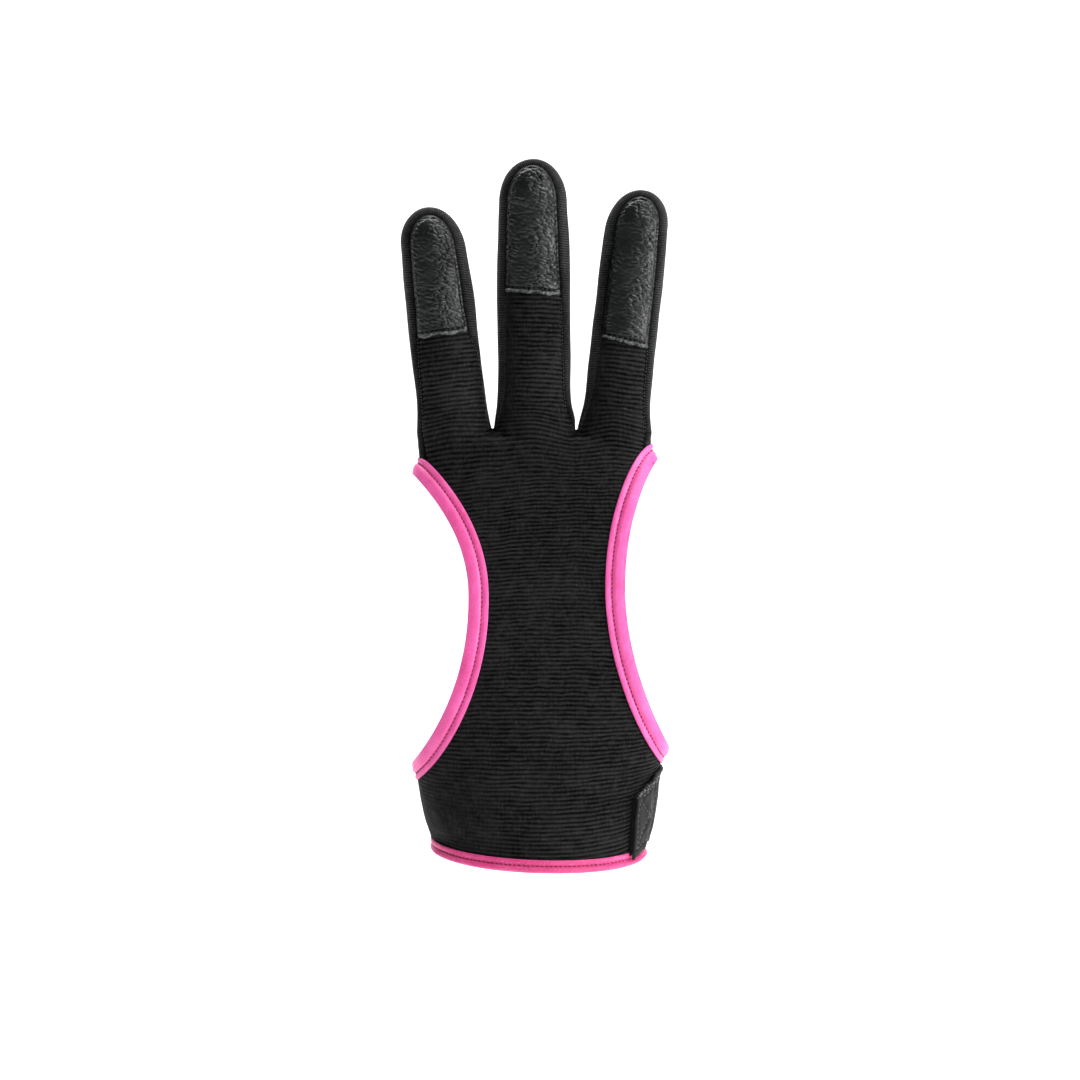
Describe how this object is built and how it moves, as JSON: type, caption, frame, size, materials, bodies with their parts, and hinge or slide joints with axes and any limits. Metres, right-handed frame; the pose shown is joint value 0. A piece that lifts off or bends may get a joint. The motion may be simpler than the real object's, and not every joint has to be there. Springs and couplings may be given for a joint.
{
  "type": "archery glove",
  "caption": "Open-sided archery glove with leather-tipped fingers, ribbed elastic palm, bound edges and a wrist strap, in its worn shape.",
  "frame": {"origin": "centre of the wrist opening, where the hand goes in", "axes": "+Z from the wrist to the fingertips, -Y the palm side with the leather, -X the thumb side, so +X is the little finger's side"},
  "size_m": [0.0748, 0.0407, 0.2],
  "materials": {
    "ribbed_cloth": "matt black elastic cloth with raised cross ribs",
    "plain_cloth": "matt black elastic cloth with a fine rib",
    "leather": "satin black pebbled leather",
    "tape": "bright pink folded elastic tape with a slight sheen",
    "strap": "smooth black strap cloth with a slight sheen"
  },
  "bodies": {
    "root": {"palm_panel": "ribbed_cloth", "back_panel": "plain_cloth", "index_patch": "leather", "middle_patch": "leather", "ring_patch": "leather", "thumb_tape": "tape", "little_finger_tape": "tape", "hem_tape": "tape", "hook_patch": "strap", "wrist_strap": "strap"}
  },
  "joints": []
}
